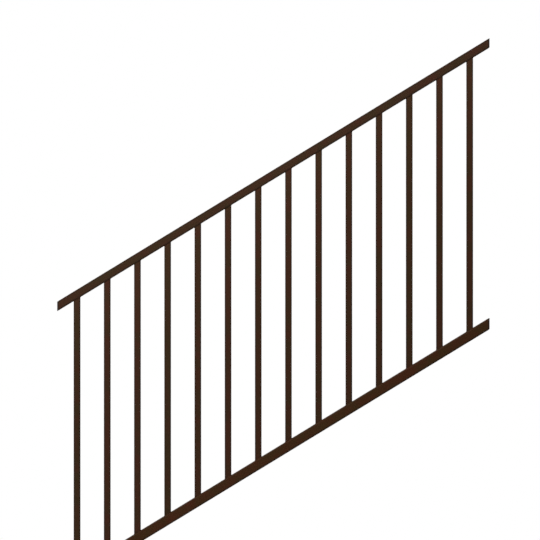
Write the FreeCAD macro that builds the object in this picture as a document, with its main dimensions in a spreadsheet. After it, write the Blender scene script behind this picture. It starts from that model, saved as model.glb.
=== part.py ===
"""Raked balustrade panel for a straight stair.

Two square steel tubes run parallel to the pitch of the stair, cut plumb at both ends and closed there
by push-in plugs. Upright square tubes, mitred to the pitch at head and foot, stand between them.

Frame: X runs along the stair and rises with it, Y is the depth (the front faces -Y), Z is up. The
origin is the middle of the plumb end face of the bottom rail, at the lower end of the stair.
"""
import FreeCAD
import Part
import enum
import math
import os

import Sketcher

# Driving dimensions: millimetres, degrees for the angle and a plain count for the balusters
SIZES = {
    "pitch_angle": 31.37,       # slope of both rails
    "panel_height": 887,        # plumb, from the underside of the bottom rail to the top of the top rail
    "baluster_count": 14,
    "baluster_spacing": 92,     # level, from centre to centre
    "end_reach": 60,            # level, from the end face of the rails to the nearest baluster's centre
    "baluster_side": 20,
    "baluster_wall": 1.5,
    "baluster_corner": 2.5,     # outside radius of the tube's corners
    "top_rail_side": 25,
    "top_rail_wall": 1.5,
    "top_rail_corner": 2.5,
    "bottom_rail_side": 30,
    "bottom_rail_wall": 2,
    "bottom_rail_corner": 4,
    "plug_head": 4,             # level thickness of the head that covers the tube's end
    "plug_inset": 0.3,          # the head stands this far inside the outline of its tube
    "plug_chamfer": 0.8,        # around the outer face of the head
    "plug_depth": 20,           # level length of the shank inside the tube
    "plug_clearance": 0.15,     # between the fins of the shank and the inside of the tube
    "fin_rings": 3,             # evenly spaced along the shank
    "fin_height": 1.2,          # how far a fin stands out from the shank
    "fin_width": 2,             # level
}

# Lengths worked out from the driving dimensions
COS_PITCH = "cos(sizes.pitch_angle)"
TAN_PITCH = "tan(sizes.pitch_angle)"
RUN = "((sizes.baluster_count - 1) * sizes.baluster_spacing + 2 * sizes.end_reach)"
HALF_RAILS = "(sizes.top_rail_side + sizes.bottom_rail_side) / 2"
TOP_RAIL_LIFT = f"(sizes.panel_height - {HALF_RAILS} / {COS_PITCH})"
BALUSTER_LENGTH = f"(sizes.panel_height - 2 * {HALF_RAILS} / {COS_PITCH})"

doc = FreeCAD.newDocument("stair_balustrade_panel")
sheet = doc.addObject("Spreadsheet::Sheet", "sizes")
for row, (alias, value) in enumerate(SIZES.items(), start=1):
    sheet.set(f"A{row}", alias)
    sheet.set(f"B{row}", str(value))
    sheet.setAlias(f"B{row}", alias)
doc.recompute()


class At(enum.IntEnum):
    """How a sketch constraint names a point of a line or an arc."""
    START = 1
    END = 2
    CENTRE = 3


SKETCH_AXES = -1   # the sketch's own axes, which start at its origin


def new_body(label, lift, turn, along="0"):
    """A body in the panel's middle plane, turned so that its X axis climbs by turn degrees."""
    body = doc.addObject("PartDesign::Body", label)
    body.Label = label
    body.Placement.Rotation = FreeCAD.Rotation(FreeCAD.Vector(0, -1, 0), 1)
    body.setExpression(".Placement.Rotation.Angle", turn)
    body.setExpression(".Placement.Base.x", along)
    body.setExpression(".Placement.Base.z", lift)
    return body


def attach(feature, body, role, across="0", up="0", out="0"):
    """Lay a sketch or plane on one of its body's origin planes, shifted within it and out of it."""
    plane = next(item for item in body.Origin.OriginFeatures if item.Role == role)
    feature.AttachmentSupport = [(plane, "")]
    feature.MapMode = "FlatFace"
    feature.setExpression(".AttachmentOffset.Base.x", across)
    feature.setExpression(".AttachmentOffset.Base.y", up)
    feature.setExpression(".AttachmentOffset.Base.z", out)


def bind(sketch, name, rule, size):
    """Add a named constraint whose value follows an expression."""
    number = sketch.addConstraint(rule)
    sketch.renameConstraint(number, name)
    sketch.setExpression(f"Constraints.{name}", size)


def draw_rounded_outline(sketch, name, wide, tall, corner):
    """Add a rectangle with rounded corners, centred on the sketch, its three sizes bound to expressions."""
    half_wide, half_tall, radius = 10.0, 12.0, 2.0   # any start will do, the bound sizes replace it
    reach_x, reach_y = half_wide - radius, half_tall - radius
    vector = FreeCAD.Vector
    first = sketch.GeometryCount
    sides = (
        ((-reach_x, -half_tall), (reach_x, -half_tall)),
        ((half_wide, -reach_y), (half_wide, reach_y)),
        ((reach_x, half_tall), (-reach_x, half_tall)),
        ((-half_wide, reach_y), (-half_wide, -reach_y)),
    )
    for start, end in sides:
        sketch.addGeometry(Part.LineSegment(vector(*start, 0), vector(*end, 0)), False)
    centres = ((reach_x, -reach_y), (reach_x, reach_y), (-reach_x, reach_y), (-reach_x, -reach_y))
    for quarter, centre in enumerate(centres, start=-1):
        circle = Part.Circle(vector(*centre, 0), vector(0, 0, 1), radius)
        arc = Part.ArcOfCircle(circle, quarter * math.pi / 2, (quarter + 1) * math.pi / 2)
        sketch.addGeometry(arc, False)

    bottom, right, top, left = range(first, first + 4)
    arcs = range(first + 4, first + 8)
    rules = []
    for turn, arc in enumerate(arcs):
        line_before, line_after = first + turn, first + (turn + 1) % 4
        rules.append(Sketcher.Constraint("Tangent", line_before, At.END, arc, At.START))
        rules.append(Sketcher.Constraint("Tangent", arc, At.END, line_after, At.START))
    rules += [Sketcher.Constraint("Horizontal", line) for line in (bottom, top)]
    rules += [Sketcher.Constraint("Vertical", line) for line in (right, left)]
    rules += [Sketcher.Constraint("Equal", arcs[0], arc) for arc in arcs[1:]]
    middle = (arcs[0], At.CENTRE, arcs[2], At.CENTRE, SKETCH_AXES, At.START)
    rules.append(Sketcher.Constraint("Symmetric", *middle))
    sketch.addConstraint(rules)

    across = (left, At.START, right, At.START, 2 * half_wide)
    upward = (bottom, At.START, top, At.START, 2 * half_tall)
    bind(sketch, f"{name}_wide", Sketcher.Constraint("DistanceX", *across), wide)
    bind(sketch, f"{name}_tall", Sketcher.Constraint("DistanceY", *upward), tall)
    bind(sketch, f"{name}_corner", Sketcher.Constraint("Radius", arcs[0], radius), corner)


def draw_plain_outline(sketch, name, wide, tall):
    """Add a rectangle, centred on the sketch, its two sizes bound to expressions."""
    half = 10.0   # any start will do, the bound sizes replace it
    signs = ((-1, -1), (1, -1), (1, 1), (-1, 1))
    corners = [FreeCAD.Vector(across * half, upward * half, 0) for across, upward in signs]
    for start, end in zip(corners, corners[1:] + corners[:1]):
        sketch.addGeometry(Part.LineSegment(start, end), False)
    bottom, right, top, left = range(4)
    rules = [
        Sketcher.Constraint("Coincident", side, At.END, (side + 1) % 4, At.START)
        for side in (bottom, right, top, left)
    ]
    rules += [Sketcher.Constraint("Horizontal", side) for side in (bottom, top)]
    rules += [Sketcher.Constraint("Vertical", side) for side in (right, left)]
    middle = (bottom, At.START, top, At.START, SKETCH_AXES, At.START)
    rules.append(Sketcher.Constraint("Symmetric", *middle))
    sketch.addConstraint(rules)
    across = (bottom, At.START, bottom, At.END, 2 * half)
    upward = (right, At.START, right, At.END, 2 * half)
    bind(sketch, f"{name}_wide", Sketcher.Constraint("DistanceX", *across), wide)
    bind(sketch, f"{name}_tall", Sketcher.Constraint("DistanceY", *upward), tall)


def draw_waste(sketch, level, rise, above):
    """Add the right triangle that a saw takes off above or below a cut through the sketch's origin."""
    half = 10.0   # any start will do, the bound sizes replace it
    low, high = FreeCAD.Vector(-half, -half, 0), FreeCAD.Vector(half, half, 0)
    square = FreeCAD.Vector(-half, half, 0) if above else FreeCAD.Vector(half, -half, 0)
    for start, end in ((low, high), (high, square), (square, low)):
        sketch.addGeometry(Part.LineSegment(start, end), False)
    cut, after, before = range(3)
    flat, upright = (after, before) if above else (before, after)
    sketch.addConstraint([
        Sketcher.Constraint("Coincident", cut, At.END, after, At.START),
        Sketcher.Constraint("Coincident", after, At.END, before, At.START),
        Sketcher.Constraint("Coincident", before, At.END, cut, At.START),
        Sketcher.Constraint("Horizontal", flat),
        Sketcher.Constraint("Vertical", upright),
        Sketcher.Constraint("Symmetric", cut, At.START, cut, At.END, SKETCH_AXES, At.START),
    ])
    ends = (cut, At.START, cut, At.END, 2 * half)
    bind(sketch, "level", Sketcher.Constraint("DistanceX", *ends), level)
    bind(sketch, "rise", Sketcher.Constraint("DistanceY", *ends), rise)


def cut_tube(body, role, stock, near, far, level, rise):
    """Square tube along the normal of one of its body's planes, sawn at the pitch at its near and far end.

    The stock names the tube's side, wall and corner. Level and rise are those of a saw cut that
    reaches half a side past the tube.
    """
    side, wall, corner = (f"sizes.{stock}_{word}" for word in ("side", "wall", "corner"))
    bore = f"{side} - 2 * {wall}"
    section = body.newObject("Sketcher::SketchObject", f"{body.Name}_section")
    attach(section, body, role, out=f"({near} + {far}) / 2")
    draw_rounded_outline(section, "outside", side, side, corner)
    draw_rounded_outline(section, "inside", bore, bore, f"max({corner} - {wall}; {corner} / 5)")
    doc.recompute()
    tube = body.newObject("PartDesign::Pad", f"{body.Name}_tube")
    tube.Profile = section
    tube.SideType = "Symmetric"
    tube.setExpression("Length", f"{far} - {near} + {side} * {TAN_PITCH}")

    upright = role == "XY_Plane"
    for end, place, above in (("near", near, not upright), ("far", far, upright)):
        waste = body.newObject("Sketcher::SketchObject", f"{body.Name}_{end}_waste")
        if upright:
            attach(waste, body, "XZ_Plane", up=place)
        else:
            attach(waste, body, "XZ_Plane", across=place)
        draw_waste(waste, level, rise, above)
        doc.recompute()
        saw = body.newObject("PartDesign::Pocket", f"{body.Name}_{end}_saw")
        saw.Profile = waste
        saw.SideType = "Symmetric"
        saw.Type = "ThroughAll"


def rail(label, lift):
    """Square tube along the pitch, cut plumb where the heads of its two plugs cover it."""
    body = new_body(label, lift, "sizes.pitch_angle")
    near = f"sizes.plug_head / {COS_PITCH}"
    far = f"({RUN} - sizes.plug_head) / {COS_PITCH}"
    reach = f"2 * sizes.{label}_side"
    cut_tube(body, "YZ_Plane", label, near, far, f"{reach} * {TAN_PITCH}", reach)
    return body


def baluster(number):
    """Upright square tube, mitred to the pitch so that it seats on both rails."""
    along = f"sizes.end_reach + {number - 1} * sizes.baluster_spacing"
    foot = f"({along}) * {TAN_PITCH} + sizes.bottom_rail_side / 2 / {COS_PITCH}"
    body = new_body(f"baluster_{number:02d}", foot, "0", along)
    reach = "2 * sizes.baluster_side"
    cut_tube(body, "XY_Plane", "baluster", "0", BALUSTER_LENGTH, reach, f"{reach} * {TAN_PITCH}")
    return body


def slanted_pad(body, name, start, length):
    """An empty sketch on a plumb plane, and the pad that draws it along the pitch by a level length."""
    section = body.newObject("Sketcher::SketchObject", f"{body.Name}_{name}_section")
    attach(section, body, "YZ_Plane", up=f"({start}) * {TAN_PITCH}", out=start)
    pad = body.newObject("PartDesign::Pad", f"{body.Name}_{name}")
    pad.Profile = section
    pad.UseCustomVector = True
    pad.Direction = FreeCAD.Vector(1, 0, 1)
    pad.AlongSketchNormal = True
    pad.setExpression("Direction.x", COS_PITCH)
    pad.setExpression("Direction.z", "sin(sizes.pitch_angle)")
    pad.setExpression("Length", length)
    return section, pad


def plug(label, stock, lift, turn, along):
    """Moulded plug for a plumb-cut tube: a head over the end, and a finned shank along the slope."""
    side, wall, corner = (f"sizes.{stock}_{word}" for word in ("side", "wall", "corner"))
    body = new_body(label, lift, turn, along)
    head_side = f"({side} - 2 * sizes.plug_inset)"
    head_tall = f"{head_side} / {COS_PITCH}"
    outline, head = slanted_pad(body, "head", "0", "sizes.plug_head")
    draw_rounded_outline(outline, "head", head_side, head_tall, f"{corner} / {COS_PITCH}")
    doc.recompute()
    outer_face = min(range(len(head.Shape.Faces)), key=lambda i: head.Shape.Faces[i].CenterOfMass.x)
    rim = body.newObject("PartDesign::Chamfer", f"{label}_rim")
    rim.Base = (head, [f"Face{outer_face + 1}"])
    rim.setExpression("Size", "sizes.plug_chamfer")

    fin_side = f"({side} - 2 * {wall} - 2 * sizes.plug_clearance)"
    shank_side = f"({fin_side} - 2 * sizes.fin_height)"
    outline, _ = slanted_pad(body, "shank", "sizes.plug_head", "sizes.plug_depth")
    draw_plain_outline(outline, "shank", shank_side, f"{shank_side} / {COS_PITCH}")
    for ring in range(1, SIZES["fin_rings"] + 1):
        middle = f"({ring} - 0.5) / sizes.fin_rings * sizes.plug_depth"
        start = f"sizes.plug_head + {middle} - sizes.fin_width / 2"
        for way, wide, tall in (("side", fin_side, shank_side), ("upright", shank_side, fin_side)):
            name = f"{way}_fins_{ring}"
            outline, _ = slanted_pad(body, name, start, "sizes.fin_width")
            draw_plain_outline(outline, name, wide, f"{tall} / {COS_PITCH}")
    doc.recompute()
    return body


# The panel, from the bottom rail up
pieces = [rail("bottom_rail", "0"), rail("top_rail", TOP_RAIL_LIFT)]
pieces += [baluster(number) for number in range(1, SIZES["baluster_count"] + 1)]
for stock, lift in (("bottom_rail", "0"), ("top_rail", TOP_RAIL_LIFT)):
    upper_lift = f"{lift} + {RUN} * {TAN_PITCH}"
    pieces.append(plug(f"{stock}_lower_plug", stock, lift, "0", "0"))
    pieces.append(plug(f"{stock}_upper_plug", stock, upper_lift, "180", RUN))
doc.recompute()

for item in doc.Objects:
    if {"Invalid", "Error"} & set(item.State):
        raise RuntimeError(f"{item.Name} did not build: {item.State}")
for piece in pieces:
    if piece.Shape.isNull() or not piece.Shape.isValid():
        raise RuntimeError(f"{piece.Label} has no valid solid")
    if len(piece.Shape.Solids) != 1:
        raise RuntimeError(f"{piece.Label} is not one solid")

os.makedirs("parts", exist_ok=True)
for piece in pieces:
    piece.Shape.exportStep(f"parts/{piece.Label}.step")
    box = piece.Shape.optimalBoundingBox()
    print(
        f"{piece.Label}: {piece.Shape.Volume / 1000:.2f} cm3,"
        f" x {box.XMin:.2f} to {box.XMax:.2f}, y {box.YMin:.2f} to {box.YMax:.2f},"
        f" z {box.ZMin:.2f} to {box.ZMax:.2f}"
    )
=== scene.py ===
import math

import bpy
import numpy as np
from mathutils import Matrix, Vector


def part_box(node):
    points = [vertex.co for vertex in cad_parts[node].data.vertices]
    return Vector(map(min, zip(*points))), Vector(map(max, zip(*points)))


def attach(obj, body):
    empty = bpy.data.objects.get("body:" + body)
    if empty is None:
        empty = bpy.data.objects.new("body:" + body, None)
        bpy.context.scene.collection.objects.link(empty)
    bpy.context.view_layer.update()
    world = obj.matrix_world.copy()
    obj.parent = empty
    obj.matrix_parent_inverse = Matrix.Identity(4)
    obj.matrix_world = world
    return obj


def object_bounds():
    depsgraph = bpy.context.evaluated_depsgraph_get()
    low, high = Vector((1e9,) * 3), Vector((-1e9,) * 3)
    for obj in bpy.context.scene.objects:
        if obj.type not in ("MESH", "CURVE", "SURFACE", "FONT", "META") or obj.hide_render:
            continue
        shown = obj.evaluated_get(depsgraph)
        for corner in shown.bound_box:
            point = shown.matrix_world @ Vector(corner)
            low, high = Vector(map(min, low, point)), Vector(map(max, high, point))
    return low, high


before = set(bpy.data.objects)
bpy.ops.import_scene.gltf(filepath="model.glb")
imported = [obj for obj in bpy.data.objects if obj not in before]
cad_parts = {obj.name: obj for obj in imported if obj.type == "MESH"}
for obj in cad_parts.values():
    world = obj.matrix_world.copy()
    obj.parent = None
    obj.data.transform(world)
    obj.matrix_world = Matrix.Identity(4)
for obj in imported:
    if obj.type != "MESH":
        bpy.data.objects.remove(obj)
cadLow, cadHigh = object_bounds()
cadMiddle = (cadLow + cadHigh) / 2
print("frame loaded:", len(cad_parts), "nodes")

# sizes that the frame already holds, in metres
balusterNames = sorted(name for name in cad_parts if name.startswith("baluster"))
railNames = ["bottom_rail", "top_rail"]
plugNames = sorted(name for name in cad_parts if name.endswith("_plug"))
balusterBoxes = np.array([[list(corner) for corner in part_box(name)] for name in balusterNames])
balusterMiddles = balusterBoxes.mean(axis=1)                 # one row of x, y, z for each baluster
balusterHalf = (balusterBoxes[0, 1, 1] - balusterBoxes[0, 0, 1]) / 2
spacing = balusterMiddles[1, 0] - balusterMiddles[0, 0]
pitch = math.atan((balusterMiddles[1, 2] - balusterMiddles[0, 2]) / spacing)
railHalf = {name: (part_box(name)[1].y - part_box(name)[0].y) / 2 for name in railNames}
alongRail = np.array([math.cos(pitch), 0, math.sin(pitch)])
offRail = np.array([-math.sin(pitch), 0, math.cos(pitch)])   # square off the rails, upwards
print(f"pitch {math.degrees(pitch):.2f} degrees, balusters every {spacing * 1000:.1f} mm")

# outside radii of the tubes' corners
balusterCorner = 0.0025
railCorner = {"bottom_rail": 0.004, "top_rail": 0.0025}


def newMesh(name, points, faces):
    mesh = bpy.data.meshes.new(name)
    mesh.from_pydata(points.reshape(-1, 3), [], faces)
    mesh.polygons.foreach_set("use_smooth", np.ones(len(mesh.polygons), dtype=bool))
    mesh.update()
    piece = bpy.data.objects.new(name, mesh)
    bpy.context.scene.collection.objects.link(piece)
    return piece


# fillet welds round the ends of the balusters, one piece for each rail
weldSettings = {
    "leg": 0.0011,             # from the root to each toe
    "bulge": 0.00022,          # how far the face of the bead is crowned
    "rippleStep": 0.0014,      # one ripple for each drop of weld
    "rippleHeight": 0.0001,
    "rippleLag": 0.35,         # share of a ripple by which its middle trails its ends
    "unevenness": 0.10,        # slow change of the leg along the bead
    "slowWaves": 3,            # how many waves make up that change
    "overlapSwell": 0.30,      # extra leg where the bead closes on its own start
    "overlapLength": 0.004,
    "furthestToe": 0.98,       # share of the rail's corner radius that a toe may reach across
    "sunk": 0.0004,            # root pushed into the corner, out of sight
    "stepsAround": 256,
    "stepsAcross": 7,
    "seed": 11,
}


def unitRows(vectors):
    return vectors / np.linalg.norm(vectors, axis=1, keepdims=True)


def roundedSquare(half, corner, steps):
    # walk round a square with rounded corners at an even pace: on each quarter a straight run, then an arc
    flat = half - corner
    arc = corner * math.pi / 2
    quarter = 2 * flat + arc
    travel = np.linspace(0, 4 * quarter, steps, endpoint=False)
    turn = np.floor(travel / quarter)
    rest = travel - turn * quarter
    angle = np.clip((rest - 2 * flat) / corner, 0, math.pi / 2)
    # first quarter: up the +x side, then round the corner towards +y
    x = flat + corner * np.cos(angle)
    y = np.minimum(rest, 2 * flat) - flat + corner * np.sin(angle)
    spin = turn * math.pi / 2
    points = np.stack([x * np.cos(spin) - y * np.sin(spin), x * np.sin(spin) + y * np.cos(spin)], axis=1)
    return points, travel, 4 * quarter


def weldBeads(name, rail, upward):
    # the bead's face at (u, v): u goes round the tube on the rail's plane, v from the toe on the rail to the
    # toe on the tube; root + leg * (1 - v) * outward + leg * v * upTube, crowned by bulge * 4 v (1 - v)
    weld = weldSettings
    outline, travel, lap = roundedSquare(balusterHalf, balusterCorner, weld["stepsAround"])
    sign = 1 if upward else -1
    root = np.stack([outline[:, 0], outline[:, 1], outline[:, 0] * math.tan(pitch)], axis=1)
    tangent = unitRows(np.roll(root, -1, axis=0) - np.roll(root, 1, axis=0))
    outward = unitRows(np.cross(tangent, offRail))
    upTube = unitRows(np.array([0, 0, sign]) - sign * tangent[:, 2:3] * tangent)
    crownWay = unitRows(outward + upTube)

    # the leg, one row for each joint: slow waves round the bead, and a swell where it closes
    rng = np.random.default_rng(weld["seed"] + sign)
    count = len(balusterNames)
    phases = rng.uniform(0, 2 * math.pi, (count, weld["slowWaves"], 1))
    waves = np.arange(1, weld["slowWaves"] + 1).reshape(1, -1, 1)
    slow = np.sin(2 * math.pi * waves * travel / lap + phases).sum(axis=1) / weld["slowWaves"]
    start = rng.uniform(0, lap, (count, 1))
    gap = np.abs((travel - start + lap / 2) % lap - lap / 2)
    swell = np.exp(-(gap / weld["overlapLength"]) ** 2)
    leg = weld["leg"] * (1 + weld["unevenness"] * slow + weld["overlapSwell"] * swell)

    # the rise of the face above the straight line from toe to toe, by joint, u and v
    v = np.linspace(0, 1, weld["stepsAcross"])
    crown = 4 * v * (1 - v)
    ripples = round(lap / weld["rippleStep"])
    shift = rng.uniform(0, 1, (count, 1, 1))
    phase = (travel * ripples / lap)[None, :, None] + shift - weld["rippleLag"] * crown
    ripple = np.abs(np.cos(math.pi * phase)) * np.sqrt(crown)
    rise = weld["bulge"] * crown + weld["rippleHeight"] * ripple

    # the rail's own corner falls away under a toe that reaches past its flat
    toeDepth = np.abs(root[None, :, 1] + leg * outward[None, :, 1])
    radius = railCorner[rail]
    past = np.clip(toeDepth - (railHalf[rail] - radius), 0, radius * weld["furthestToe"])
    fall = radius - np.sqrt(radius ** 2 - past ** 2)

    # the section of the bead at each joint and u: its face from toe to toe, then the buried root
    face = (
        root[None, :, None, :]
        + (leg[:, :, None] * (1 - v))[..., None] * outward[None, :, None, :]
        + (leg[:, :, None] * v)[..., None] * upTube[None, :, None, :]
        + rise[..., None] * crownWay[None, :, None, :]
        - sign * (fall[:, :, None] * (1 - v))[..., None] * offRail
    )
    buried = np.broadcast_to(root - weld["sunk"] * crownWay, (count,) + root.shape)[:, :, None, :]
    section = np.concatenate([face, buried], axis=2)

    ends = balusterMiddles.copy()
    halfLength = (balusterBoxes[:, 1, 2] - balusterBoxes[:, 0, 2]) / 2 - balusterHalf * math.tan(pitch)
    ends[:, 2] -= sign * halfLength
    points = section + ends[:, None, None, :]

    index = np.arange(math.prod(section.shape[:3])).reshape(section.shape[:3])
    nextU, nextV = np.roll(index, -1, axis=1), np.roll(index, -1, axis=2)
    both = np.roll(nextU, -1, axis=2)
    quads = np.stack([index, nextU, both, nextV], axis=-1).reshape(-1, 4)
    if not upward:
        quads = quads[:, ::-1]
    return newMesh(name, points, quads.tolist())


bottomWelds = weldBeads("bottom_rail_welds", "bottom_rail", True)
topWelds = weldBeads("top_rail_welds", "top_rail", False)
print("welds:", len(bottomWelds.data.polygons) + len(topWelds.data.polygons), "faces")


# helpers for shader trees
def newGroup(name, inputs, outputs):
    group = bpy.data.node_groups.new(name, "ShaderNodeTree")
    for label, kind, value in inputs:
        socket = group.interface.new_socket(label, in_out="INPUT", socket_type=kind)
        socket.default_value = value
    for label, kind in outputs:
        group.interface.new_socket(label, in_out="OUTPUT", socket_type=kind)
    entry = group.nodes.new("NodeGroupInput")
    leave = group.nodes.new("NodeGroupOutput")
    return group, entry, leave


def addNode(tree, kind, settings=None, **values):
    node = tree.nodes.new(kind)
    for key, value in (settings or {}).items():
        setattr(node, key, value)
    for key, value in values.items():
        node.inputs[key.replace("_", " ")].default_value = value
    return node


def addGroup(tree, group, values):
    node = addNode(tree, "ShaderNodeGroup", {"node_tree": group})
    for key, value in values.items():
        node.inputs[key].default_value = value
    return node


def feed(tree, sockets, values):
    for socket, value in zip(sockets, values):
        if isinstance(value, bpy.types.NodeSocket):
            tree.links.new(value, socket)
        else:
            socket.default_value = value


def addMath(tree, operation, *values):
    node = addNode(tree, "ShaderNodeMath", {"operation": operation})
    feed(tree, node.inputs, values)
    return node.outputs[0]


def mixColors(tree, share, first, second):
    node = addNode(tree, "ShaderNodeMix", {"data_type": "RGBA"})
    feed(tree, [socket for socket in node.inputs if socket.enabled], (share, first, second))
    return next(socket for socket in node.outputs if socket.enabled)


# shader effects that several finishes share
patchNoise = {"Detail": 3.0, "Roughness": 0.55}
patchMiddle = 0.50                                # where the patch noise leaves the plain coat
patchFull = {"Redder": 0.68, "Olive": 0.34}       # where it reaches a full tint
skinNoise = {"Detail": 2.0, "Roughness": 0.5}
glossNoise = {"Scale": 35.0, "Detail": 4.0}


def makeToneGroup():
    # broad patches drift between a redder and an olive brown, like uneven film build, and in a row of tubes
    # each one leans to one side as a whole
    group, entry, leave = newGroup(
        "coat tone",
        [
            ("Coat", "NodeSocketColor", (0.05, 0.025, 0.012, 1)),
            ("Redder", "NodeSocketColor", (0.06, 0.022, 0.012, 1)),
            ("Olive", "NodeSocketColor", (0.045, 0.028, 0.012, 1)),
            ("Patch Scale", "NodeSocketFloat", 24.0),
            ("Amount", "NodeSocketFloat", 0.5),
            ("Row Start", "NodeSocketFloat", 0.0),
            ("Row Step", "NodeSocketFloat", 0.1),
            ("Row Seed", "NodeSocketFloat", 0.0),
            ("Row Lean", "NodeSocketFloat", 0.0),
        ],
        [("Color", "NodeSocketColor")],
    )
    link = group.links.new
    place = group.nodes.new("ShaderNodeTexCoord")
    noise = addNode(group, "ShaderNodeTexNoise", **patchNoise)
    link(place.outputs["Object"], noise.inputs["Vector"])
    link(entry.outputs["Patch Scale"], noise.inputs["Scale"])
    split = group.nodes.new("ShaderNodeSeparateXYZ")
    link(place.outputs["Object"], split.inputs["Vector"])
    along = addMath(group, "SUBTRACT", split.outputs["X"], entry.outputs["Row Start"])
    number = addMath(group, "ROUND", addMath(group, "DIVIDE", along, entry.outputs["Row Step"]))
    draw = addNode(group, "ShaderNodeTexWhiteNoise", {"noise_dimensions": "1D"})
    link(addMath(group, "ADD", number, entry.outputs["Row Seed"]), draw.inputs["W"])
    centred = addMath(group, "SUBTRACT", draw.outputs["Value"], 0.5)
    lean = addMath(group, "MULTIPLY", centred, entry.outputs["Row Lean"])
    drift = addMath(group, "ADD", noise.outputs["Fac"], lean)
    color = entry.outputs["Coat"]
    for tint, full in patchFull.items():
        mask = addNode(group, "ShaderNodeMapRange", From_Min=patchMiddle, From_Max=full)
        link(drift, mask.inputs["Value"])
        share = addMath(group, "MULTIPLY", mask.outputs["Result"], entry.outputs["Amount"])
        color = mixColors(group, share, color, entry.outputs[tint])
    link(color, leave.inputs["Color"])
    return group


def makeSkinGroup():
    # orange peel of a baked coat with a finer grain on it, and a roughness that drifts from place to place
    group, entry, leave = newGroup(
        "coat skin",
        [
            ("Peel Scale", "NodeSocketFloat", 600.0),
            ("Grain Scale", "NodeSocketFloat", 2200.0),
            ("Grain Share", "NodeSocketFloat", 0.3),
            ("Base Roughness", "NodeSocketFloat", 0.45),
            ("Roughness Drift", "NodeSocketFloat", 0.08),
        ],
        [("Height", "NodeSocketFloat"), ("Roughness", "NodeSocketFloat")],
    )
    link = group.links.new
    place = group.nodes.new("ShaderNodeTexCoord")
    heights = []
    for scale in ("Peel Scale", "Grain Scale"):
        noise = addNode(group, "ShaderNodeTexNoise", **skinNoise)
        link(place.outputs["Object"], noise.inputs["Vector"])
        link(entry.outputs[scale], noise.inputs["Scale"])
        heights.append(noise.outputs["Fac"])
    peel, grain = heights
    finer = addMath(group, "MULTIPLY", grain, entry.outputs["Grain Share"])
    link(addMath(group, "ADD", peel, finer), leave.inputs["Height"])
    cloud = addNode(group, "ShaderNodeTexNoise", **glossNoise)
    link(place.outputs["Object"], cloud.inputs["Vector"])
    centred = addMath(group, "SUBTRACT", cloud.outputs["Fac"], 0.5)
    drift = addMath(group, "MULTIPLY", centred, entry.outputs["Roughness Drift"])
    link(addMath(group, "ADD", drift, entry.outputs["Base Roughness"]), leave.inputs["Roughness"])
    return group


def makeCornerShadeGroup():
    # painted shade on the long corners of a square tube, or of each tube in a row: this gives its mask, the
    # nearness to a corner, the smaller of the distances from its two middle planes, 1 from Full outwards and
    # 0 from Band inside that; the corners on the side that Face Way points to get only their share of it
    group, entry, leave = newGroup(
        "painted tube corner shade",
        [
            ("Face Way", "NodeSocketVector", (1, 0, 0)),
            ("Axis Place", "NodeSocketFloat", 0.0),
            ("Repeat", "NodeSocketFloat", 100.0),
            ("Full", "NodeSocketFloat", 0.01),
            ("Band", "NodeSocketFloat", 0.005),
            ("Way Share", "NodeSocketFloat", 1.0),
        ],
        [("Corner", "NodeSocketFloat")],
    )
    link = group.links.new
    place = group.nodes.new("ShaderNodeTexCoord")
    across = addNode(group, "ShaderNodeVectorMath", {"operation": "DOT_PRODUCT"})
    feed(group, across.inputs, (place.outputs["Object"], entry.outputs["Face Way"]))
    fromAxis = addMath(group, "SUBTRACT", across.outputs["Value"], entry.outputs["Axis Place"])
    highest = addMath(group, "MULTIPLY", entry.outputs["Repeat"], 0.5)
    lowest = addMath(group, "MULTIPLY", entry.outputs["Repeat"], -0.5)
    wrapped = addMath(group, "WRAP", fromAxis, highest, lowest)
    split = group.nodes.new("ShaderNodeSeparateXYZ")
    link(place.outputs["Object"], split.inputs["Vector"])
    fromSide = addMath(group, "ABSOLUTE", wrapped)
    fromFront = addMath(group, "ABSOLUTE", split.outputs["Y"])
    inner = addMath(group, "SUBTRACT", entry.outputs["Full"], entry.outputs["Band"])
    mask = addNode(group, "ShaderNodeMapRange", {"interpolation_type": "SMOOTHSTEP"})
    link(addMath(group, "MINIMUM", fromSide, fromFront), mask.inputs["Value"])
    link(inner, mask.inputs["From Min"])
    link(entry.outputs["Full"], mask.inputs["From Max"])
    share = addNode(group, "ShaderNodeMapRange", To_Min=1.0)
    link(addMath(group, "GREATER_THAN", wrapped, 0.0), share.inputs["Value"])
    link(entry.outputs["Way Share"], share.inputs["To Max"])
    corner = addMath(group, "MULTIPLY", mask.outputs["Result"], share.outputs["Result"])
    link(corner, leave.inputs["Corner"])
    return group


toneGroup = makeToneGroup()
skinGroup = makeSkinGroup()
cornerShadeGroup = makeCornerShadeGroup()
print("shader groups ready")


# finishes
bronzeCoat = {
    "specular": 0.065,
    "tone": {
        "Coat": (0.0289, 0.0124, 0.0055, 1),
        "Redder": (0.0358, 0.0104, 0.0055, 1),
        "Olive": (0.0235, 0.0144, 0.0051, 1),
        "Patch Scale": 28.0,
        "Amount": 0.7,
    },
    "skin": {
        "Peel Scale": 520.0,
        "Grain Scale": 1900.0,
        "Grain Share": 0.35,
        "Base Roughness": 0.52,
        "Roughness Drift": 0.12,
    },
    "bump": {"Strength": 0.34, "Distance": 0.0004},
    "cornerShadeColor": (0.0105, 0.0054, 0.0029, 1),      # painted shade: a darker colour on the tubes' long corners, where the rounded corners turn away from the light
}
plugPlastic = {
    "specular": 0.14,
    "tone": {
        "Coat": (0.0111, 0.0066, 0.0042, 1),
        "Redder": (0.0129, 0.0064, 0.0043, 1),
        "Olive": (0.0101, 0.0070, 0.0042, 1),
        "Patch Scale": 60.0,
        "Amount": 0.5,
    },
    "skin": {
        "Peel Scale": 1500.0,
        "Grain Scale": 4200.0,
        "Grain Share": 0.6,
        "Base Roughness": 0.62,
        "Roughness Drift": 0.06,
    },
    "bump": {"Strength": 0.45, "Distance": 0.0002},
}
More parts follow.
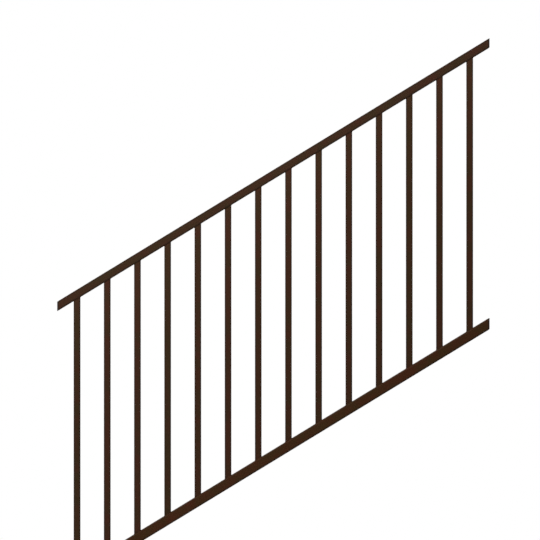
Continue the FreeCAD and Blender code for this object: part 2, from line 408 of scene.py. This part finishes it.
coatTints = {              # each kind of piece gets its own tint: the top rail a little darker, the bottom rail warmer with less blue
    "baluster": (0.99, 0.95, 0.82),
    "bottom_rail": (1.13, 0.95, 0.60),
    "top_rail": (0.90, 0.89, 0.79),
    "welds": (1.00, 0.96, 0.83),
}
balusterLean = {           # one draw of tone for each baluster
    "Row Start": float(balusterMiddles[0, 0]),
    "Row Step": float(spacing),
    "Row Seed": 1.0,
    "Row Lean": 0.20,
}
cornerShadeSettings = {         # painted corner shade. full: how far in the darker tone is full; band: how much further it fades out
    "baluster": {"full": 0.0, "band": 0.0055, "wayShare": 1.0, "amount": 0.7},
    "bottom_rail": {"full": 0.0025, "band": 0.0045, "wayShare": 0.0, "amount": 0.6},     # painted shade on the lower corners only, which face away from the light above
    "top_rail": {"full": 0.0025, "band": 0.0045, "wayShare": 0.5, "amount": 0.6},        # painted shade, less on the upper corners
}
noRepeat = 100.0           # metres to the next tube where there is only one


def coatedFinish(name, settings, corners=None):
    material = bpy.data.materials.new(name)
    material.use_nodes = True
    tree = material.node_tree
    shader = tree.nodes["Principled BSDF"]
    shader.inputs["Specular IOR Level"].default_value = settings["specular"]
    link = tree.links.new
    color = addGroup(tree, toneGroup, settings["tone"]).outputs["Color"]
    # painted shade: the tone darkens towards the tubes' long corners
    if corners:
        near = addGroup(tree, cornerShadeGroup, corners["place"])
        share = addMath(tree, "MULTIPLY", near.outputs["Corner"], corners["amount"])
        color = mixColors(tree, share, color, settings["cornerShadeColor"])
    skin = addGroup(tree, skinGroup, settings["skin"])
    bump = addNode(tree, "ShaderNodeBump", **settings["bump"])
    link(color, shader.inputs["Base Color"])
    link(skin.outputs["Roughness"], shader.inputs["Roughness"])
    link(skin.outputs["Height"], bump.inputs["Height"])
    link(bump.outputs["Normal"], shader.inputs["Normal"])
    return material


def tintedCoat(piece, lean=None):
    # the bronze coat with its three colours multiplied by the tint of the piece
    tint = np.array(coatTints[piece] + (1,))
    tone = {**bronzeCoat["tone"], **(lean or {})}
    for shade in ("Coat", "Redder", "Olive"):
        tone[shade] = tuple(np.array(tone[shade]) * tint)
    return {**bronzeCoat, "tone": tone}


def paintedCornerShade(piece, way, point, half, repeat=noRepeat):
    # where and how strongly the painted shade on a tube's long corners lies
    settings = cornerShadeSettings[piece]
    place = {
        "Face Way": tuple(way),
        "Axis Place": float(np.dot(way, point)),
        "Repeat": float(repeat),
        "Full": float(half - settings["full"]),
        "Band": settings["band"],
        "Way Share": settings["wayShare"],
    }
    return {"place": place, "amount": settings["amount"]}


def dress(piece, material):
    piece.data.materials.clear()
    piece.data.materials.append(material)


# painted shade on the balusters' long corners and on the rails' corners, mostly the lower ones
balusterCornerShade = paintedCornerShade("baluster", (1, 0, 0), balusterMiddles[0], balusterHalf, spacing)
balusterCoat = coatedFinish("baluster bronze coat", tintedCoat("baluster", balusterLean), balusterCornerShade)
weldCoat = coatedFinish("weld bronze coat", tintedCoat("welds"))
plugMaterial = coatedFinish("dark plug plastic", plugPlastic)
for name in balusterNames:
    dress(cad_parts[name], balusterCoat)
for name in railNames:
    low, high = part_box(name)
    corners = paintedCornerShade(name, offRail, (low + high) / 2, railHalf[name])
    coat = coatedFinish(name.replace("_", " ") + " bronze coat", tintedCoat(name), corners)
    dress(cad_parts[name], coat)
for name in plugNames:
    dress(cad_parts[name], plugMaterial)
for welds in (bottomWelds, topWelds):
    dress(welds, weldCoat)
    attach(welds, "root")
print("finishes assigned")


# pale round floor that fades out into the white ground
floorSettings = {
    "innerRadius": 0.02,
    "radius": 2.3,
    "rings": 24,
    "spokes": 96,
    "below": 0.0005,       # under the panel's lowest corner
    "fadeFrom": 0.9,
    "fadeTo": 2.2,
    "color": (0.86, 0.86, 0.85, 1),
    "roughness": 0.8,
    "specular": 0.2,
}


def makeFloor():
    # polar grid: radius times (cos, sin) of the spoke's angle, level, with one face to close the middle
    rings, spokes = floorSettings["rings"], floorSettings["spokes"]
    centre = np.array([cadMiddle.x, cadMiddle.y, cadLow.z - floorSettings["below"]])
    radius = np.linspace(floorSettings["innerRadius"], floorSettings["radius"], rings)[:, None]
    angle = np.linspace(0, 2 * math.pi, spokes, endpoint=False)[None, :]
    flat = np.stack(np.broadcast_arrays(radius * np.cos(angle), radius * np.sin(angle), 0 * radius), axis=-1)
    index = np.arange(rings * spokes).reshape(rings, spokes)
    nextSpoke = np.roll(index, -1, axis=1)
    quads = np.stack([index[:-1], index[1:], nextSpoke[1:], nextSpoke[:-1]], axis=-1).reshape(-1, 4)
    floor = newMesh("floor", flat + centre, quads.tolist() + [index[0].tolist()])

    material = bpy.data.materials.new("pale floor")
    material.use_nodes = True
    tree = material.node_tree
    shader = tree.nodes["Principled BSDF"]
    shader.inputs["Base Color"].default_value = floorSettings["color"]
    shader.inputs["Roughness"].default_value = floorSettings["roughness"]
    shader.inputs["Specular IOR Level"].default_value = floorSettings["specular"]
    place = tree.nodes.new("ShaderNodeTexCoord")
    away = addNode(tree, "ShaderNodeVectorMath", {"operation": "DISTANCE"})
    feed(tree, away.inputs, (place.outputs["Object"], tuple(centre)))
    fade = addNode(
        tree,
        "ShaderNodeMapRange",
        {"interpolation_type": "SMOOTHSTEP"},
        From_Min=floorSettings["fadeFrom"],
        From_Max=floorSettings["fadeTo"],
        To_Min=1.0,
        To_Max=0.0,
    )
    tree.links.new(away.outputs["Value"], fade.inputs["Value"])
    tree.links.new(fade.outputs["Result"], shader.inputs["Alpha"])
    dress(floor, material)


makeFloor()
print("floor laid")

# soft studio light: each lamp stands off the panel's middle along the rails, to the front, and above, which
# is square off the rails
lightSettings = {
    "key": {"along": 0.0, "front": 2.35, "above": 2.15, "length": 4.0, "width": 1.0, "power": 118},
    "top strip": {"along": 0.29, "front": 0.22, "above": 0.52, "length": 2.0, "width": 0.06, "power": 1.9},
    "back": {"along": 0.0, "front": -3.2, "above": 2.4, "length": 3.0, "width": 1.2, "power": 80},
    "right side": {"along": 4.2, "front": 0.4, "above": 0.3, "length": 1.6, "width": 1.6, "power": 20},
    "left side": {"along": -4.2, "front": 0.4, "above": 1.2, "length": 1.6, "width": 1.6, "power": 15},
}


def makeLights():
    for name, settings in lightSettings.items():
        lamp = bpy.data.lights.new(name, "AREA")
        lamp.shape = "RECTANGLE"
        lamp.size, lamp.size_y = settings["length"], settings["width"]
        lamp.energy = settings["power"]
        holder = bpy.data.objects.new(name, lamp)
        square = settings["above"] * Vector(offRail) + Vector((0, -settings["front"], 0))
        away = square + settings["along"] * Vector(alongRail)
        holder.location = cadMiddle + away
        # a lamp past an end of the panel lies across it and faces its middle, the others lie along the rails
        pastEnd = abs(settings["along"]) > square.length
        outAxis = (away if pastEnd else square).normalized()
        lengthWay = Vector((0, 1, 0)) if pastEnd else Vector(alongRail)
        lengthAxis = (lengthWay - outAxis * lengthWay.dot(outAxis)).normalized()
        widthAxis = outAxis.cross(lengthAxis)
        holder.rotation_euler = Matrix((lengthAxis, widthAxis, outAxis)).transposed().to_euler()
        holder.visible_camera = False
        bpy.context.scene.collection.objects.link(holder)


makeLights()
print("lights set")

# white ground behind the panel, dimmer for the light that it sheds than for the camera
worldSettings = {"color": (1, 1, 1, 1), "seen": 1.0, "shed": 0.39}


def makeWorld():
    world = bpy.data.worlds.new("white ground")
    world.use_nodes = True
    tree = world.node_tree
    background = tree.nodes["Background"]
    background.inputs["Color"].default_value = worldSettings["color"]
    path = tree.nodes.new("ShaderNodeLightPath")
    strength = addNode(tree, "ShaderNodeMapRange", To_Min=worldSettings["shed"], To_Max=worldSettings["seen"])
    tree.links.new(path.outputs["Is Camera Ray"], strength.inputs["Value"])
    tree.links.new(strength.outputs["Result"], background.inputs["Strength"])
    bpy.context.scene.world = world
    bpy.context.scene.view_settings.view_transform = "Standard"
    bpy.context.scene.view_settings.look = "None"


makeWorld()
print("ground set")

# level camera, square on to the panel, far off with a long lens
cameraSettings = {
    "framePixels": 540,
    "lowerEndPixel": 57.35,         # where the photograph shows the panel's lower end face
    "upperEndPixel": 489.35,        # and its upper end face
    "topEdgePixel": 153.6,          # top edge of the top rail, at topEdgeColumn
    "topEdgeColumn": 300,
    "lens": 300,
    "sensor": 36,
    "clipDistances": 4,             # how far the camera sees, in distances to the panel
}


def makeCamera():
    shot = cameraSettings
    scale = (cadHigh.x - cadLow.x) / (shot["upperEndPixel"] - shot["lowerEndPixel"])      # metres to a pixel
    half = shot["framePixels"] / 2
    middleX = cadLow.x + (half - shot["lowerEndPixel"]) * scale
    columnX = cadLow.x + (shot["topEdgeColumn"] - shot["lowerEndPixel"]) * scale
    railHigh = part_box("top_rail")[1]
    topEdge = railHigh.z - (railHigh.x - columnX) * math.tan(pitch)
    middleZ = topEdge - (half - shot["topEdgePixel"]) * scale
    distance = shot["framePixels"] * scale * shot["lens"] / shot["sensor"]
    lens = bpy.data.cameras.new("camera")
    lens.lens, lens.sensor_width = shot["lens"], shot["sensor"]
    lens.clip_end = distance * shot["clipDistances"]
    camera = bpy.data.objects.new("camera", lens)
    camera.location = (middleX, -distance, middleZ)
    camera.rotation_euler = (math.pi / 2, 0, 0)
    bpy.context.scene.collection.objects.link(camera)
    bpy.context.scene.camera = camera


makeCamera()
print("camera placed")
